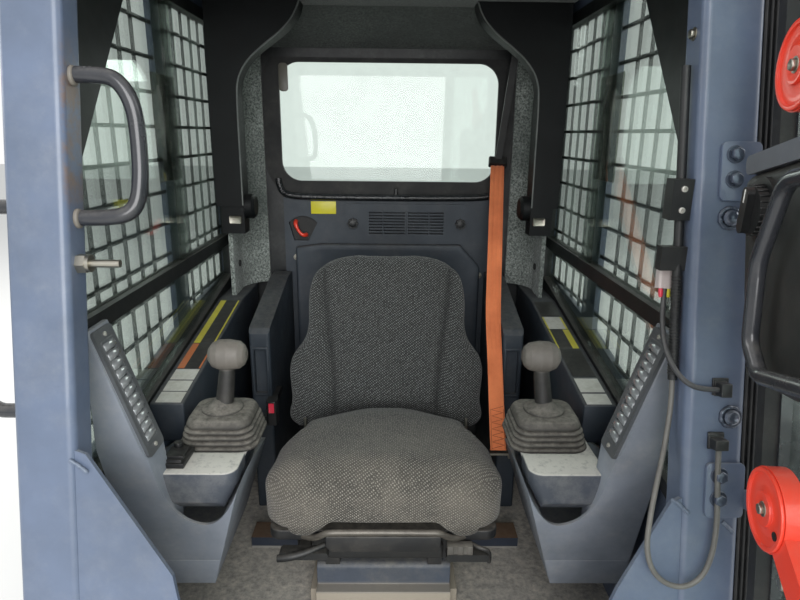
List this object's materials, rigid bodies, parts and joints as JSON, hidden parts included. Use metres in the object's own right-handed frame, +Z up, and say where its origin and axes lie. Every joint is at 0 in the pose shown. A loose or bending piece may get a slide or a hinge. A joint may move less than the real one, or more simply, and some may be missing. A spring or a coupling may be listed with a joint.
{
  "type": "skid steer loader operator cab",
  "caption": "Operator cab with roll-over frame, suspension seat, side consoles with levers, screened side windows and a hinged glazed front door.",
  "frame": {"origin": "centre of the base bolt pattern, at the underside of the floor's sills", "axes": "+X to the right as seen through the front door, +Y into the cab towards its rear wall, +Z up"},
  "size_m": [1.1987, 2.3971, 1.6976],
  "materials": {
    "frame_paint": "satin, dusty",
    "floor_paint": "matt, dusty",
    "screen_paint": "satin",
    "black_plastic": "fine grain",
    "cab_glass": "clear, faint green",
    "seal_rubber": "matt",
    "boot_rubber": "matt, dusty",
    "grip_rubber": "worn",
    "slate_plastic": "grained",
    "red_plastic": "smooth",
    "release_plastic": "grained",
    "trim_foam": "speckled foam",
    "arch_plastic": "grained",
    "console_plastic": "grained, dusty",
    "vent_plastic": "satin",
    "zinc_steel": "zinc plated",
    "belt_webbing": "woven",
    "buckle_plastic": "smooth",
    "handle_paint": "satin",
    "connector_plastic": "smooth",
    "cable_jacket": "smooth",
    "seat_steel": "satin",
    "seat_shell": "grained",
    "seat_fabric": "twill with light flecks",
    "door_plastic": "grained",
    "rail_plastic": "smooth",
    "switch_plastic": "satin"
  },
  "bodies": {
    "cab": {"front_posts": "frame_paint", "rear_frame": "frame_paint", "front_header": "frame_paint", "side_panels": "frame_paint", "rear_wall": "frame_paint", "roof_shell": "frame_paint", "hinge_brackets": "frame_paint", "outer_rail": "frame_paint", "floor_pan": "floor_paint", "seat_plinth": "floor_paint", "screen_uprights": "screen_paint", "screen_crossbars": "screen_paint", "glass_frames": "black_plastic", "grille_knobs": "black_plastic", "belt_guide": "black_plastic", "harness": "black_plastic", "cable_glands": "black_plastic", "side_glass": "cab_glass", "rear_window": "cab_glass", "rear_window_seal": "seal_rubber", "lever_boots": "boot_rubber", "lever_grips": "grip_rubber", "rear_panel": "slate_plastic", "seat_ducts": "slate_plastic", "rear_release": "release_plastic", "headliner": "trim_foam", "corner_trims": "trim_foam", "pillar_arch": "arch_plastic", "arch_latches": "arch_plastic", "side_trays": "console_plastic", "consoles": "console_plastic", "control_boxes": "console_plastic", "console_vents": "vent_plastic", "latch_pin": "zinc_steel", "belt_anchor": "zinc_steel", "seat_belt": "belt_webbing", "buckle": "buckle_plastic", "grab_handle": "handle_paint", "connector": "connector_plastic", "cable_upper": "cable_jacket", "cable_lower": "cable_jacket"},
    "seat": {"seat_base": "seat_steel", "seat_levers": "black_plastic", "seat_pan": "seat_steel", "seat_cushion": "seat_fabric", "backrest_shell": "seat_shell", "backrest_cushion": "seat_fabric"},
    "door": {"door_frame": "handle_paint", "door_glass": "cab_glass", "door_seal": "seal_rubber", "door_panel": "door_plastic", "door_rail": "rail_plastic", "door_switch": "switch_plastic", "door_handle": "handle_paint", "door_releases": "red_plastic"}
  },
  "joints": [
    {"name": "door_hinge", "type": "hinge", "parent": "cab", "child": "door", "pos_m": [0.556, -0.5908, 0.88346], "axis": [0, 0.1908, 0.9816], "range_deg": [-80, 20]},
    {"name": "seat_slide", "type": "slide", "parent": "cab", "child": "seat", "axis": [0, 1, 0], "range_m": [-0.06, 0.06]}
  ]
}
